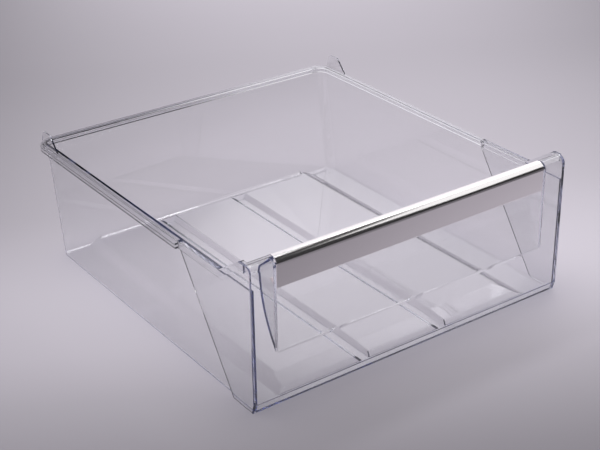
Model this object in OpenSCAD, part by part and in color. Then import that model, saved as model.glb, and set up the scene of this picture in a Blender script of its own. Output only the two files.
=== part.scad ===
// Clear freezer drawer: an open tub, a front panel that laps round its sides, and a bright grip trim.
// X runs along the front, Y from the front to the back, Z up. The origin is under the middle of the drawer.

/* [Front panel] */
// Width of the front panel
panel_w = 450; // [400:5:520]
// Height of the front panel, to the top of its rounded nose
panel_h = 180.5; // [170:0.5:210]
// Thickness of the front panel
panel_t = 3; // [2.4:0.1:3.6]
// Height of the bevelled foot under the flat face
foot_h = 10.7; // [6:0.1:16]
// How far the bevelled foot runs back
foot_run = 3.2; // [1:0.1:6]
// Radius of the rounded nose along the top
nose_r = 9; // [8:0.5:11]
// Flat stretch behind the rounded nose
nose_flat = 3; // [2.5:0.1:5]
// Wall of the nose that carries the trim
nose_shell = 2.1; // [1.8:0.1:2.4]
// Height of the nose's lower edge above the centre of its round
nose_cut = 2.2; // [1.6:0.1:2.6]

/* [Handle recess] */
// Width of the recess
grip_w = 385; // [300:1:390]
// Height at which the recess's bowed back would run out of the face
grip_z = 70; // [50:1:90]
// Radius that blends the recess's lower edge into the face
grip_blend = 16; // [10:1:24]
// Depth of the recess behind the front face
grip_d = 28; // [24:0.5:36]
// Distance from the top of the panel down to the recess's deepest line
grip_drop = 22.5; // [20:0.5:28]
// Radius of the upper back corner of the recess
grip_corner = 6; // [4:0.5:8]
// Rise of the recess's ceiling towards the nose, in degrees
grip_rise = 36; // [32:1:38]
// Wall thickness round the recess
grip_t = 2.6; // [2:0.1:3.2]

/* [Side wings of the panel] */
// Thickness of the wings that lap the tub's sides
wing_t = 2.4; // [2:0.1:3]
// Length of a wing along the ground
wing_foot = 41; // [25:1:60]
// Length of a wing along the rim
wing_rim = 140; // [110:1:180]
// Where the rim starts to climb to the nose, from the front face
ramp_y = 58; // [45:1:75]
// Radius of the bend at the foot of the climb
ramp_r = 14; // [6:1:20]
// Distance from the back of the nose to the head of the climb
ramp_head = 7; // [5:0.5:10]
// Radius of the bend at the head of the climb
ramp_head_r = 7; // [4:0.5:9]
// Gap between the wings and the tub
lap_gap = 0.15; // [0.1:0.05:0.3]

/* [Grip trim] */
// Thickness of the trim round the nose
trim_t = 1.5; // [1.2:0.1:2]
// Thickness of the trim's skirt
skirt_t = 2; // [1.6:0.1:2.6]
// Step from the nose back to the skirt's face
skirt_step = 1.2; // [0.6:0.1:1.6]
// Height of the skirt's lower edge
skirt_z = 144; // [130:1:150]
// Radius of the bead along the skirt's lower edge
bead_r = 1.6; // [1.2:0.1:2]
// Length of the lip that turns up behind the bead
lip_len = 12.5; // [6:0.5:14]
// Slope of that lip, in degrees
lip_rise = 33; // [20:1:45]
// Gap between the trim and the nose that it snaps on
trim_gap = 0.15; // [0.1:0.05:0.3]
// Gap between the trim and each end of the recess
trim_end_gap = 1.5; // [0.5:0.1:3]

/* [Tub] */
// Depth of the drawer, front face to the back edge of the runners
drawer_d = 488; // [400:2:560]
// Height of the tub's rim
rim_h = 154; // [130:1:162]
// Wall thickness of the tub
wall = 2.5; // [2:0.1:3]
// Floor thickness of the tub
floor_t = 2.5; // [2:0.1:3]
// Lean of the back wall, in degrees
back_lean = 8.8; // [0:0.1:12]
// Outer radius of the tub's back corners
corner_r = 14; // [12:0.5:24]
// Inner radius between the floor and the side walls
floor_fillet = 2; // [1.5:0.5:8]
// Inner radius between the floor and the back wall
back_fillet = 6; // [4:0.5:9]

/* [Rim and runners] */
// Height of the band along the rim
band_h = 9.5; // [9:0.1:14]
// How far the band stands out past the panel's edge
band_out = 2; // [1:0.1:4]
// Wall thickness of the rim's turned-down band
band_t = 2; // [1.6:0.1:2.4]
// Thickness of the rim's flat top
rim_t = 2.2; // [1.8:0.1:2.6]
// How far the runner ribs stand out past the band
rail_out = 3.5; // [2:0.1:5]
// Thickness of a runner rib
rail_t = 2.2; // [1.8:0.1:2.6]
// Drop from the rim's top to the upper runner rib
rail_drop = 2.5; // [1:0.1:2.8]
// Length of a stop ear along the rim
ear_len = 42; // [30:1:60]
// Distance from a stop ear to the back edge of the runners
ear_back = 16; // [16:1:40]
// Height of a stop ear above the rim
ear_h = 19; // [10:1:26]
// Slope of a stop ear's leading edge, in degrees from upright
ear_slope = 42; // [20:1:48]
// Run of a stop ear's rear edge
ear_tail = 6.3; // [3:0.1:8]
// Radius of a stop ear's rear corner
ear_r = 4.8; // [2:0.1:5]
// Radius of a stop ear's leading corner
ear_lead_r = 2.4; // [1:0.1:3]

/* [Raised floor] */
// Width of the raised floor, along the foot of its sides
raised_w = 362; // [240:2:372]
// Height of the raised floor above the tub's floor
raised_h = 5; // [3:0.5:6]
// Run of its gently sloped sides
side_run = 12; // [8:0.5:16]
// Radius that softens the head and the foot of those sides
side_round = 26; // [6:1:30]
// Where the raised floor starts, from the front face
raised_front = 14.5; // [14:0.5:30]
// Run of its sloped front
raised_ramp = 7; // [4:0.5:10]
// Length of its lower apron at the front
apron = 33.5; // [20:0.5:50]
// How much lower the apron starts
apron_drop = 1.5; // [0.5:0.1:2]
// Number of channels along the raised floor
channels = 2; // [1:1:3]
// Distance between the middles of the channels
channel_pitch = 115; // [80:1:118]
// How far the channels lie to the left of the middle
channel_shift = 6; // [0:0.5:10]
// Width of a channel along its bottom
channel_w = 10; // [6:1:20]
// Run of the sloped sides of a channel
channel_run = 5; // [3:0.5:6]
// Distance from the channels' back ends to the foot of the back wall
channel_gap = 8; // [7:0.5:30]
// Extra thickness, measured level, of the sloped front and of the channels' slopes
slope_extra = 2.7; // [0.5:0.1:4]

/* [Hidden] */
$fn = 64;
past = 1;
post_swell = 0.06;

half_w = panel_w / 2;
nose_d = nose_r + nose_flat;
nose_z = panel_h - nose_r;
face_back = panel_t + lap_gap;

tub_half = half_w - wing_t - lap_gap;
band_face = half_w + band_out;
rail_face = band_face + rail_out;
rim_reach = band_face - tub_half;
rail_reach = rail_face - tub_half;
rim_back = drawer_d - rail_reach;
foot_back = rim_back - rim_h * tan(back_lean);
lap_top = rim_h - rim_t - lap_gap;
seam_back = wing_rim + lap_gap;

grip_top = panel_h - grip_drop;
grip_rise_h = grip_top - grip_z;
grip_r = (grip_d * grip_d + grip_rise_h * grip_rise_h) / (2 * grip_d);
corner_y = grip_d - grip_corner;
bow = [grip_d - grip_r, grip_top];
blend_reach = grip_r + grip_blend;
blend_y = grip_blend - post_swell;
blend = [blend_y, grip_top - sqrt(blend_reach * blend_reach - (blend_y - bow.x) * (blend_y - bow.x))];

seat_r = nose_r - trim_t - trim_gap;
nose_end = nose_z + nose_cut;
trim_half = grip_w / 2 - trim_end_gap;
seat_half = trim_half + trim_gap;
skirt_top = nose_end - trim_gap;

ear_foot = drawer_d - ear_back;
raised_z = floor_t + raised_h;
slope_rate = channel_run / raised_h;
floor_round = floor_fillet + wall;
back_round = back_fillet + wall;

// The drawer's frame: the front face lies half the depth ahead of the origin.
module in_place() {
    translate([0, -drawer_d / 2, 0]) children();
}

// A side view, drawn as [y, z], carried along X from one end to the other.
module along_x(x0, x1) {
    translate([x0, 0, 0]) rotate([90, 0, 90]) linear_extrude(x1 - x0) children();
}

// A front view, drawn as [x, z], carried along Y from the front to the back.
module along_y(y0, y1) {
    translate([0, y1, 0]) rotate([90, 0, 0]) linear_extrude(y1 - y0) children();
}

// The same solid on both sides of the drawer.
module both_sides() {
    children();
    mirror([1, 0, 0]) children();
}

// Points along the round that takes the corner b off a path from a to c.
function round_corner(a, b, c, r, steps = 10) =
    let (
        u = (a - b) / norm(a - b),
        v = (c - b) / norm(c - b),
        half_angle = acos(u * v) / 2,
        middle = b + (u + v) / norm(u + v) * r / sin(half_angle),
        start = b + u * r / tan(half_angle) - middle,
        side = sign(u.x * v.y - u.y * v.x),
        turn = -side * (180 - 2 * half_angle)
    )
    [for (i = [0:steps]) let (t = -turn * i / steps)
        middle + [start.x * cos(t) + start.y * sin(t), start.y * cos(t) - start.x * sin(t)]];

// Tub

// Plan of the tub at a distance outside its wall: round corners at the back, cut square at the front.
module plan(out, front) {
    half = tub_half + out;
    back = rim_back + out;
    r = corner_r + out;
    translate([-half, front]) square([2 * half, back - r - front]);
    translate([r - half, front]) square([2 * (half - r), back - front]);
    for (side = [-1, 1])
        translate([side * (half - r), back - r]) circle(r);
}

// A flat ring that follows the rim between two distances from the wall.
module rim_ring(inner, outer, low, high) {
    translate([0, 0, low]) linear_extrude(high - low) difference() {
        plan(outer, seam_back);
        plan(inner, seam_back - past);
    }
}

// Where the leaning back wall lies at a height, at a depth inside its outer face.
function wall_y(z, depth) = foot_back + z * tan(back_lean) - depth / cos(back_lean);

// Side view of what lies before the back wall and above a floor, with a round corner between the two.
module leaning_side(front, low, depth, r) {
    mid = [wall_y(low + r, depth + r), low + r];
    high = rim_h + past;
    translate(mid) circle(r);
    polygon([
        [front, low],
        [mid.x, low],
        mid + r * [cos(back_lean), -sin(back_lean)],
        [wall_y(high, depth), high],
        [front, high],
    ]);
}

// Front view of a box with straight sides and round lower corners.
module round_front(half, low, r) {
    translate([-half, low + r]) square([2 * half, rim_h]);
    translate([r - half, low]) square([2 * (half - r), rim_h]);
    for (side = [-1, 1])
        translate([side * (half - r), low + r]) circle(r);
}

// What the rounds of the tub's back corners leave: round posts that lean with the back wall, and all that
// lies before and between them. The posts are a trace fuller than a tangent round, so that they cross the
// walls cleanly.
module back_rounds(r) {
    low = -past;
    high = rim_h + 2 * past;
    mid_y = foot_back - corner_r / cos(back_lean);
    along_x(-half_w, half_w) polygon([
        [-2 * past, low],
        [mid_y + low * tan(back_lean), low],
        [mid_y + high * tan(back_lean), high],
        [-2 * past, high],
    ]);
    along_x(corner_r - tub_half, tub_half - corner_r)
        translate([0, low]) square([drawer_d, high - low]);
    for (side = [-1, 1])
        translate([side * (tub_half - corner_r), mid_y, 0])
            rotate([-back_lean, 0, 0])
                translate([0, 0, -corner_r])
                    cylinder(r = r + post_swell, h = rim_h / cos(back_lean) + 3 * corner_r);
}

// The tub's outer box: its front follows the panel's back, its back leans, and its corners are round.
module lean_box() {
    intersection() {
        back_rounds(corner_r);
        along_y(-past, drawer_d) round_front(tub_half, 0, floor_round);
        along_x(-half_w, half_w) leaning_side(0, 0, 0, back_round);
        along_x(-half_w, half_w) polygon([
            [face_back + foot_run * (1 + past / foot_h), -past],
            [drawer_d, -past],
            [drawer_d, rim_h],
            [face_back, rim_h],
            [face_back, foot_h],
        ]);
    }
}

// The space that the drawer holds, open at the top and at the front.
module hollow() {
    intersection() {
        back_rounds(corner_r - wall);
        along_y(-past, drawer_d) round_front(tub_half - wall, floor_t, floor_fillet);
        along_x(-half_w, half_w) leaning_side(-past, floor_t, wall, back_fillet);
    }
}

// Side view of the raised floor: a sloped front, a lower apron, then level to the back.
module raised_side(back) {
    polygon([
        [raised_front, floor_t],
        [back, floor_t],
        [back, raised_z],
        [raised_front + apron, raised_z],
        [raised_front + raised_ramp, raised_z - apron_drop],
    ]);
}

// Side view of the cove between the raised floor and the back wall, also a trace fuller than tangent.
module cove_side() {
    mid = [wall_y(raised_z + back_fillet, wall + back_fillet) + post_swell, raised_z + back_fillet - post_swell];
    low = raised_z - raised_h / 2;
    high = mid.y - back_fillet * sin(back_lean);
    difference() {
        polygon([[mid.x, low], [wall_y(low, wall / 2), low], [wall_y(high, wall / 2), high], [mid.x, high]]);
        translate(mid) circle(back_fillet);
    }
}

// Side view of the air under the raised floor. It is open at the back, where the wall rounds into the floor.
module under_side() {
    low = raised_z - floor_t;
    translate([slope_extra, -floor_t]) raised_side(foot_back - back_round);
    difference() {
        translate([foot_back - 2 * back_round, 0]) square([drawer_d, low + back_round]);
        leaning_side(0, low, -post_swell, back_round);
    }
}

// One channel, grown sideways: its sides slope, and so does its end near the back wall.
module channel(grow) {
    low = floor_t - past;
    high = raised_z + past;
    narrow = channel_w / 2 + grow - past * slope_rate;
    wide = channel_w / 2 + grow + (raised_h + past) * slope_rate;
    stop = foot_back - channel_gap + grow + past * slope_rate;
    intersection() {
        along_y(0, drawer_d) polygon([[-narrow, low], [narrow, low], [wide, high], [-wide, high]]);
        along_x(-wide - past, wide + past)
            polygon([[0, low], [stop - (high - low) * slope_rate, low], [stop, high], [0, high]]);
    }
}

// Line up one side of the raised floor, from its foot to its head, with both bends softened.
function flank(foot, knee) =
    let (
        low = [raised_w / 2, foot],
        high = [raised_w / 2 - side_run, knee]
    )
    concat(
        round_corner(low + [side_run, 0], low, high, side_round),
        round_corner(low, high, [0, knee], side_round)
    );

// The raised floor's width and channels, given to a side view that is set lower by a drop.
module raised_floor(drop, grow) {
    side = flank(floor_t - drop, raised_z - drop);
    crest = side[len(side) - 1].x;
    top = raised_z - drop + back_round + past;
    difference() {
        intersection() {
            along_y(0, 2 * drawer_d) polygon(concat(
                side,
                [[crest, top], [-crest, top]],
                [for (p = backwards(side)) [-p.x, p.y]]
            ));
            along_x(-half_w, half_w) children();
        }
        for (i = [0:channels - 1])
            translate([(i - (channels - 1) / 2) * channel_pitch - channel_shift, 0, -drop]) channel(grow);
    }
}

// Upright ear at the back of a runner, which stops the drawer when it is pulled out.
module stop_ear() {
    heel = [ear_foot, rim_h];
    toe = [ear_foot - ear_len, rim_h];
    back_tip = heel + [-ear_tail, ear_h];
    lead_tip = toe + [ear_h * tan(ear_slope), ear_h];
    along_x(band_face - band_t, band_face) polygon(concat(
        [heel - [0, rim_t], heel],
        round_corner(heel, back_tip, lead_tip, ear_r),
        round_corner(back_tip, lead_tip, toe, ear_lead_r),
        [toe, toe - [0, rim_t]]
    ));
}

// Rolled rim: a flat top, a band turned down outside it, and two ribs that run on the cabinet's ledges.
module rolled_rim() {
    band_z = rim_h - band_h;
    rail_z = rim_h - rail_drop;
    rim_ring(-wall / 2, rim_reach, rim_h - rim_t, rim_h);
    rim_ring(rim_reach - band_t, rim_reach, band_z, rim_h);
    rim_ring(rim_reach - band_t, rail_reach, rail_z - rail_t, rail_z);
    rim_ring(rim_reach - band_t, rail_reach, band_z, band_z + rail_t);
}

// Clear moulded tub: floor, two sides and a leaning back, with the runners along its rim.
module tub() {
    color("lightsteelblue", 0.5) in_place() difference() {
        union() {
            difference() {
                union() {
                    lean_box();
                    rolled_rim();
                }
                hollow();
                translate([-half_w, -past, lap_top]) cube([panel_w, seam_back + past, rim_h]);
            }
            raised_floor(0, 0) {
                raised_side(foot_back - wall / 2);
                cove_side();
            }
            both_sides() stop_ear();
        }
        raised_floor(floor_t, slope_extra) under_side();
    }
}

// Front panel

// Side view of the nose's quarter round, with radius r about the nose's centre.
module nose_round(r) {
    intersection() {
        translate([nose_r, nose_z]) circle(r);
        translate([nose_r - r, nose_z]) square([r, r]);
    }
}

// Side view of the nose: its quarter round and the flat behind it.
module nose_side(r, flat) {
    nose_round(r);
    translate([nose_r, nose_z]) square([flat, r]);
}

// Side view of the panel: bevelled foot, flat plate and hollow nose.
module panel_side() {
    difference() {
        union() {
            polygon([
                [foot_run, 0],
                [foot_run + panel_t, 0],
                [panel_t, foot_h],
                [panel_t, nose_z],
                [0, nose_z],
                [0, foot_h],
            ]);
            nose_side(nose_r, nose_flat);
        }
        nose_side(nose_r - panel_t, nose_flat + past);
    }
}

// Side view of the recess, grown outwards: a lower edge that blends into the face, a bowed back, a round
// corner and a ceiling that climbs forwards.
module recess_side(grow, front) {
    r = grip_corner + grow;
    touch = [corner_y + r * sin(grip_rise), grip_top + r * cos(grip_rise)];
    meet = bow + (blend - bow) * (grip_r + grow) / blend_reach;
    within = meet + (bow - blend) * past / blend_reach;
    intersection() {
        translate(bow) circle(grip_r + grow, $fn = 256);
        translate([front, meet.y]) square([grip_d + grow - front, grip_top - meet.y]);
    }
    difference() {
        polygon([[front, blend.y], blend, within, [front, within.y]]);
        translate(blend) circle(grip_blend - grow);
    }
    translate([corner_y, grip_top]) circle(r);
    polygon([
        [front, grip_top],
        [corner_y, grip_top],
        touch,
        [front, touch.y + (touch.x - front) * tan(grip_rise)],
    ]);
}

// Side view of the air in the recess: it opens through the plate and reaches up under the nose.
module recess_air() {
    intersection() {
        recess_side(0, -past);
        union() {
            translate([-past, 0]) square([panel_h, nose_end]);
            nose_round(seat_r - nose_shell);
            translate([nose_r, 0]) square([panel_h, panel_h]);
        }
    }
}

// Side view of the walls round the recess, before the air is taken out.
module recess_walls() {
    intersection() {
        recess_side(grip_t, 0);
        union() {
            square([panel_h, nose_end]);
            nose_side(nose_r, nose_flat);
            translate([nose_r, 0]) square([panel_h, panel_h]);
        }
    }
}

// Side view of the rebate that lets the trim lie flush on the nose.
module trim_seat() {
    difference() {
        translate([-past, nose_z]) square([nose_d + past + past, nose_r + past]);
        nose_side(seat_r, nose_flat - trim_t - trim_gap);
        translate([nose_d - trim_t - trim_gap, 0]) square([panel_h, nose_z + seat_r - trim_t]);
    }
}

// The line along the top of a wing: level at the rim, then up to the back of the nose.
function wing_top(low) =
    let (
        rim = [wing_rim, rim_h - low],
        foot = [ramp_y, rim_h - low],
        head = [nose_d + ramp_head, panel_h - low],
        tip = [nose_r, panel_h - low]
    )
    concat([rim], round_corner(rim, foot, head, ramp_r), round_corner(foot, head, tip, ramp_head_r), [tip]);

function backwards(path) = [for (i = [len(path) - 1:-1:0]) path[i]];

// Side wing: a plate outside the tub's wall, a band along its top, and a lip that hooks over the wall.
module wing() {
    inner = half_w - wing_t;
    along_x(inner, half_w) {
        polygon(concat(
            wing_top(0),
            [[nose_r, nose_z], [0, nose_z], [0, foot_h], [foot_run, 0], [wing_foot, 0]],
            [[wing_rim, rim_h - band_h]]
        ));
        nose_side(nose_r, nose_flat);
    }
    along_x(inner, band_face) polygon(concat(wing_top(0), backwards(wing_top(band_h))));
    along_x(tub_half - wall, half_w) polygon(concat(wing_top(0), backwards(wing_top(rim_t))));
}

// Clear moulded front panel: plate, recessed grip under a rounded nose, and the two side wings.
module front_panel() {
    color("lightsteelblue", 0.5) in_place() difference() {
        union() {
            along_x(-half_w, half_w) panel_side();
            along_x(-grip_w / 2 - grip_t, grip_w / 2 + grip_t) recess_walls();
            both_sides() wing();
        }
        along_x(-grip_w / 2, grip_w / 2) recess_air();
        along_x(-seat_half, seat_half) trim_seat();
    }
}

// Grip trim

// Side view of the trim: a shell that snaps round the nose, and a skirt with a rolled finger lip.
module trim_side() {
    ledge_z = skirt_top - trim_t;
    bead = [skirt_step + bead_r, skirt_z + bead_r];
    difference() {
        nose_side(nose_r, nose_flat);
        nose_side(nose_r - trim_t, nose_flat - trim_t);
        square([nose_d, skirt_top]);
        translate([nose_r, 0]) square([nose_d, nose_z + seat_r - trim_t + trim_gap]);
    }
    intersection() {
        nose_round(nose_r);
        translate([0, ledge_z]) square([nose_r, trim_t]);
    }
    translate([skirt_step, bead.y]) square([skirt_t, ledge_z + trim_t / 2 - bead.y]);
    translate(bead) {
        circle(bead_r);
        rotate(lip_rise) translate([0, -bead_r / 2]) square([lip_len, bead_r]);
        rotate(lip_rise) translate([lip_len, 0]) circle(bead_r / 2);
    }
}

// Bright trim along the grip, made as one long profile.
module handle_trim() {
    color("silver") in_place() along_x(-trim_half, trim_half) trim_side();
}

tub();
front_panel();
handle_trim();
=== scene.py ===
import math

import bpy
from mathutils import Matrix, Vector

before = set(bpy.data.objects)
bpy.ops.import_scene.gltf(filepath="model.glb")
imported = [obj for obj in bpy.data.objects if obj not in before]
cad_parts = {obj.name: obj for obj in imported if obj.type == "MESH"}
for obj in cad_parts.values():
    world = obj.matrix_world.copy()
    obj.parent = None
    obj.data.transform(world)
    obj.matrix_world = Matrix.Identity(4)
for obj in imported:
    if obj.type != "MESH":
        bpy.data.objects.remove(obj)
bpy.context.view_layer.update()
scene = bpy.context.scene
scene.view_settings.view_transform = "Standard"
bpy.ops.object.select_all(action="DESELECT")


# Tub: the clear box that holds the food, one shell of polystyrene from a single mould. The polymer has a
# faint blue cast, which only shows where light runs a long way through it, at rims and edges. The mould
# leaves a slow ripple, and packets that are dragged over the plastic leave fine scuffs from front to back.
ripples_per_metre = (16.0, 16.0, 16.0)
ripple_strength = 0.25
ripple_depth = 0.0006
scuffs_per_metre = (420.0, 26.0, 60.0)
scuff_slant = math.radians(11)
scuff_starts = 0.52
scuff_is_full = 0.78
polished_roughness = 0.015
polystyrene_ior = 1.59
cast_density = 11.0


def add_node(look, kind, **settings):
    made = look.node_tree.nodes.new("ShaderNode" + kind)
    for name, value in settings.items():
        setattr(made, name, value)
    return made


def join(look, source, target):
    look.node_tree.links.new(source, target)


def new_finish(name):
    finish = bpy.data.materials.new(name)
    finish.use_nodes = True
    finish.node_tree.nodes.clear()
    return finish


def dress(node_name, finish):
    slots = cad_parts[node_name].data.materials
    slots.clear()
    slots.append(finish)


def scaled_noise(finish, per_metre, slant, detail):
    place = add_node(finish, "TexCoord")
    stretch = add_node(finish, "Mapping")
    stretch.inputs["Scale"].default_value = per_metre
    stretch.inputs["Rotation"].default_value = (0.0, 0.0, slant)
    join(finish, place.outputs["Object"], stretch.inputs["Vector"])
    noise = add_node(finish, "TexNoise")
    noise.inputs["Scale"].default_value = 1.0
    noise.inputs["Detail"].default_value = detail
    join(finish, stretch.outputs["Vector"], noise.inputs["Vector"])
    return noise.outputs["Fac"]


def raised_by(finish, height, strength, depth):
    relief = add_node(finish, "Bump")
    relief.inputs["Strength"].default_value = strength
    relief.inputs["Distance"].default_value = depth
    join(finish, height, relief.inputs["Height"])
    return relief.outputs["Normal"]


def clear_polystyrene(name, tint, cast, shade, scuff_roughness):
    finish = new_finish(name)
    ripple = scaled_noise(finish, ripples_per_metre, slant=0.0, detail=1.0)
    moulded = raised_by(finish, ripple, ripple_strength, ripple_depth)
    scuffs = scaled_noise(finish, scuffs_per_metre, scuff_slant, detail=3.0)
    gloss = add_node(finish, "MapRange")
    gloss.inputs["From Min"].default_value = scuff_starts
    gloss.inputs["From Max"].default_value = scuff_is_full
    gloss.inputs["To Min"].default_value = polished_roughness
    gloss.inputs["To Max"].default_value = scuff_roughness
    join(finish, scuffs, gloss.inputs["Value"])

    plastic = add_node(finish, "BsdfPrincipled")
    plastic.inputs["Base Color"].default_value = tint
    plastic.inputs["IOR"].default_value = polystyrene_ior
    plastic.inputs["Transmission Weight"].default_value = 1.0
    join(finish, gloss.outputs["Result"], plastic.inputs["Roughness"])
    join(finish, moulded, plastic.inputs["Normal"])

    # Shadows and light that bounces off the table go straight through, which leaves a pale shadow.
    light_kind = add_node(finish, "LightPath")
    soft_light = add_node(finish, "Math", operation="MAXIMUM")
    join(finish, light_kind.outputs["Is Shadow Ray"], soft_light.inputs[0])
    join(finish, light_kind.outputs["Is Diffuse Ray"], soft_light.inputs[1])
    lets_through = add_node(finish, "BsdfTransparent")
    lets_through.inputs["Color"].default_value = shade
    surface = add_node(finish, "MixShader")
    join(finish, soft_light.outputs["Value"], surface.inputs["Fac"])
    join(finish, plastic.outputs["BSDF"], surface.inputs[1])
    join(finish, lets_through.outputs["BSDF"], surface.inputs[2])

    depth = add_node(finish, "VolumeAbsorption")
    depth.inputs["Color"].default_value = cast
    depth.inputs["Density"].default_value = cast_density
    output = add_node(finish, "OutputMaterial")
    join(finish, surface.outputs["Shader"], output.inputs["Surface"])
    join(finish, depth.outputs["Volume"], output.inputs["Volume"])
    return finish


tub_plastic = clear_polystyrene(
    "tub_clear_polystyrene",
    tint=(1.0, 1.0, 1.0, 1.0),
    cast=(0.40, 0.45, 0.66, 1.0),
    shade=(0.975, 0.975, 0.975, 1.0),
    scuff_roughness=0.09,
)
dress("tub", tub_plastic)


# Front panel: a second clear moulding, with the finger recess and the rounded nose. Its wings lap the tub's
# sides, so two walls lie close together there. It lets a little less light through than the tub, a grey
# tint that is painted shade on the floor seen through it, and its scuffs are fainter, because less is
# dragged over it.
panel_plastic = clear_polystyrene(
    "panel_clear_polystyrene",
    # The grey tint is painted shade.
    tint=(0.94, 0.94, 0.94, 1.0),
    cast=(0.40, 0.45, 0.67, 1.0),
    shade=(0.92, 0.92, 0.92, 1.0),
    scuff_roughness=0.05,
)
dress("front_panel", panel_plastic)


# Handle trim: one long bright profile that snaps round the nose of the panel. It is plated and drawn
# lengthwise, so its streaks run along the drawer's front and blur what it mirrors across them.
trim_colour = (0.97, 0.935, 0.94, 1.0)
streaks_per_metre = (3.0, 1500.0, 1500.0)
streak_strength = 0.05
streak_depth = 0.0001
smooth_roughness = 0.10
drawn_roughness = 0.17


def bright_plating(name):
    finish = new_finish(name)
    streaks = scaled_noise(finish, streaks_per_metre, slant=0.0, detail=4.0)
    drawn = raised_by(finish, streaks, streak_strength, streak_depth)
    gloss = add_node(finish, "MapRange")
    gloss.inputs["To Min"].default_value = smooth_roughness
    gloss.inputs["To Max"].default_value = drawn_roughness
    join(finish, streaks, gloss.inputs["Value"])
    metal = add_node(finish, "BsdfPrincipled")
    metal.inputs["Base Color"].default_value = trim_colour
    metal.inputs["Metallic"].default_value = 1.0
    join(finish, gloss.outputs["Result"], metal.inputs["Roughness"])
    join(finish, drawn, metal.inputs["Normal"])
    output = add_node(finish, "OutputMaterial")
    join(finish, metal.outputs["BSDF"], output.inputs["Surface"])
    return finish


dress("handle_trim", bright_plating("trim_bright_plating"))


# Floor: a wide sheet of pale lavender paper, laid just under the drawer. A pool of light is painted on it
# in a slanting band under the drawer, with painted shade in a darker strip in front of it, and the painted
# light falls off gently behind the band and towards both of its ends.
floor_half = 14.0
floor_drop = 0.0006
paper_tint = Vector((1.0, 0.937, 1.045))
across_way = (0.446, 0.904, 0.0)
along_way = (0.835, -0.55, 0.0)
band_middle = 0.13
band_fade_square = 0.55
band_end_level = 0.5
fade_in_front = 0.6
fade_front_edge = -0.35
fade_back_edge = 0.2
paper_reach = 1.4
# Painted light and shade on the paper at distances across the band, in metres from the drawer's middle
# towards the back.
painted_light_levels = (
    (-paper_reach, 0.50),
    (-0.98, 0.45),
    (-0.60, 0.20),
    (-0.42, 0.28),
    (-0.26, 0.48),
    (-0.16, 0.59),
    (0.00, 0.71),
    (0.20, 0.55),
    (0.56, 0.51),
    (0.84, 0.46),
    (paper_reach, 0.67),
)

bpy.ops.mesh.primitive_plane_add(size=2 * floor_half, location=(0, 0, 0))
floor = bpy.context.object
floor.name = "floor"
bpy.ops.object.mode_set(mode="EDIT")
bpy.ops.transform.translate(value=(0, 0, -floor_drop))
bpy.ops.object.mode_set(mode="OBJECT")

paper = new_finish("floor_paper_painted_light")
paper_place = add_node(paper, "TexCoord")
across_band = add_node(paper, "VectorMath", operation="DOT_PRODUCT")
across_band.inputs[1].default_value = across_way
join(paper, paper_place.outputs["Object"], across_band.inputs[0])
band_reach = add_node(paper, "MapRange")
band_reach.inputs["From Min"].default_value = -paper_reach
band_reach.inputs["From Max"].default_value = paper_reach
join(paper, across_band.outputs["Value"], band_reach.inputs["Value"])
# This ramp paints the pool of light and the darker strip of shade across the band.
painted_light_ramp = add_node(paper, "ValToRGB")
painted_light_ramp.color_ramp.interpolation = "B_SPLINE"
# A new ramp has a stop at each end, and the first of them takes the first level.
stops = painted_light_ramp.color_ramp.elements
stops.remove(stops[-1])
for distance, level in painted_light_levels:
    place = (distance + paper_reach) / (2 * paper_reach)
    stop = stops.new(place) if place > 0 else stops[0]
    stop.color = (*(level * paper_tint), 1.0)
join(paper, band_reach.outputs["Result"], painted_light_ramp.inputs["Fac"])

# Painted falloff of light: the paper darkens along the band away from its middle, less so in front of the
# drawer.
along_band = add_node(paper, "VectorMath", operation="DOT_PRODUCT")
along_band.inputs[1].default_value = along_way
join(paper, paper_place.outputs["Object"], along_band.inputs[0])
from_middle = add_node(paper, "Math", operation="SUBTRACT")
from_middle.inputs[1].default_value = band_middle
join(paper, along_band.outputs["Value"], from_middle.inputs[0])
from_middle_square = add_node(paper, "Math", operation="POWER")
from_middle_square.inputs[1].default_value = 2.0
join(paper, from_middle.outputs["Value"], from_middle_square.inputs[0])
fade_share = add_node(paper, "MapRange")
fade_share.inputs["From Min"].default_value = fade_front_edge
fade_share.inputs["From Max"].default_value = fade_back_edge
fade_share.inputs["To Min"].default_value = fade_in_front
join(paper, across_band.outputs["Value"], fade_share.inputs["Value"])
fade = add_node(paper, "Math", operation="MULTIPLY")
join(paper, from_middle_square.outputs["Value"], fade.inputs[0])
join(paper, fade_share.outputs["Result"], fade.inputs[1])
painted_falloff = add_node(paper, "MapRange")
painted_falloff.inputs["From Max"].default_value = band_fade_square
painted_falloff.inputs["To Min"].default_value = 1.0
painted_falloff.inputs["To Max"].default_value = band_end_level
join(paper, fade.outputs["Value"], painted_falloff.inputs["Value"])
paper_with_painted_light = add_node(paper, "VectorMath", operation="SCALE")
join(paper, painted_light_ramp.outputs["Color"], paper_with_painted_light.inputs[0])
join(paper, painted_falloff.outputs["Result"], paper_with_painted_light.inputs["Scale"])

matt_paper = add_node(paper, "BsdfPrincipled")
matt_paper.inputs["Roughness"].default_value = 0.9
matt_paper.inputs["Specular IOR Level"].default_value = 0.0
join(paper, paper_with_painted_light.outputs["Vector"], matt_paper.inputs["Base Color"])
paper_output = add_node(paper, "OutputMaterial")
join(paper, matt_paper.outputs["BSDF"], paper_output.inputs["Surface"])
floor.data.materials.append(paper)


# Light: a very wide lamp high over the table, a small weak one above the drawer's right, which glints along
# the back edge of its floor, and one at the right that the trim mirrors. The room is dark, so that the long
# light paths in the plastic end in the dark, and two pale cards behind the drawer shine in its floor.
def softbox(name, at, towards, width, height, watts):
    data = bpy.data.lights.new(name, "AREA")
    data.shape = "RECTANGLE"
    data.size = width
    data.size_y = height
    data.energy = watts
    lamp = bpy.data.objects.new(name, data)
    lamp.location = at
    lamp.rotation_euler = (Vector(towards) - Vector(at)).to_track_quat("-Z", "Y").to_euler()
    lamp.visible_camera = False
    scene.collection.objects.link(lamp)


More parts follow.
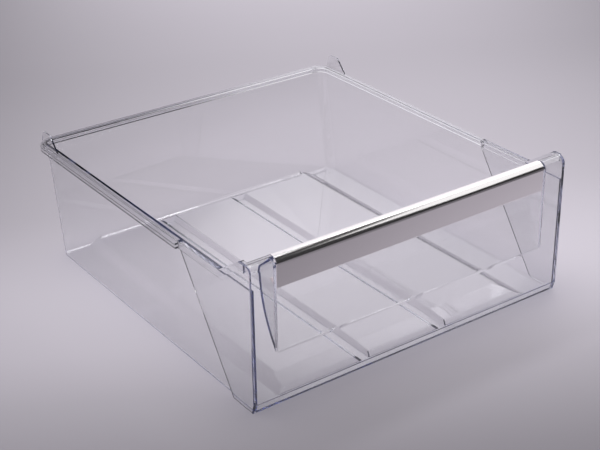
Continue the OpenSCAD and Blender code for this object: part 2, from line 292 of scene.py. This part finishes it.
softbox("overhead", at=(0.1, 2.4, 9.0), towards=(0.1, 2.4, 0.0), width=9.0, height=6.2, watts=905.0)
softbox("over_back", at=(0.65, 0.2, 1.0), towards=(0.65, 0.2, 0.0), width=0.45, height=0.45, watts=1.0)
softbox("right_side", at=(1.25, -0.4, 1.43), towards=(0.0, -0.4, 1.43), width=2.4, height=1.06, watts=7.66)

room_dark_level = 0.035
room = bpy.data.worlds.new("room")
scene.world = room
room.use_nodes = True
room_light = room.node_tree.nodes["Background"]
room_light.inputs["Color"].default_value = (1.0, 0.98, 1.02, 1.0)
room_way = add_node(room, "TexCoord")


def pale_card(towards, rim_degrees, core_degrees, level):
    facing = add_node(room, "VectorMath", operation="DOT_PRODUCT")
    facing.inputs[1].default_value = towards
    join(room, room_way.outputs["Generated"], facing.inputs[0])
    card = add_node(room, "MapRange", interpolation_type="SMOOTHSTEP")
    card.inputs["From Min"].default_value = math.cos(math.radians(rim_degrees))
    card.inputs["From Max"].default_value = math.cos(math.radians(core_degrees))
    join(room, facing.outputs["Value"], card.inputs["Value"])
    lit_room = add_node(room, "Math", operation="MULTIPLY_ADD")
    lit_room.inputs[1].default_value = level
    join(room, card.outputs["Result"], lit_room.inputs[0])
    return lit_room


low_card = pale_card(towards=(0.616, 0.645, 0.452), rim_degrees=13.8, core_degrees=8.8, level=0.95)
low_card.inputs[2].default_value = room_dark_level
high_card = pale_card(towards=(0.50, 0.45, 0.74), rim_degrees=20.0, core_degrees=4.0, level=0.6)
join(room, low_card.outputs["Value"], high_card.inputs[2])
join(room, high_card.outputs["Value"], room_light.inputs["Strength"])

# Light that is caught between the faces of a clear wall is mirrored dozens of times before it comes out.
caught_bounces = 128
clear_layers = 32
scene.cycles.max_bounces = caught_bounces
scene.cycles.glossy_bounces = caught_bounces
scene.cycles.transmission_bounces = caught_bounces
scene.cycles.transparent_max_bounces = clear_layers
scene.cycles.caustics_refractive = False
scene.cycles.caustics_reflective = False


# Camera: it stands to the left of the drawer's front and above it, with a fairly long lens, and leans a
# little to one side.
camera_data = bpy.data.cameras.new("camera")
camera_data.sensor_width = 36.0
camera_data.lens = 81.25
camera = bpy.data.objects.new("camera", camera_data)
camera.location = (-0.8766, -1.2515, 0.8464)
turn_right = math.radians(35.37)
look_down = math.radians(27.25)
roll = math.radians(-0.9)
camera.rotation_euler = (
    Matrix.Rotation(-turn_right, 3, "Z")
    @ Matrix.Rotation(math.pi / 2 - look_down, 3, "X")
    @ Matrix.Rotation(roll, 3, "Z")
).to_euler()
scene.collection.objects.link(camera)
scene.camera = camera
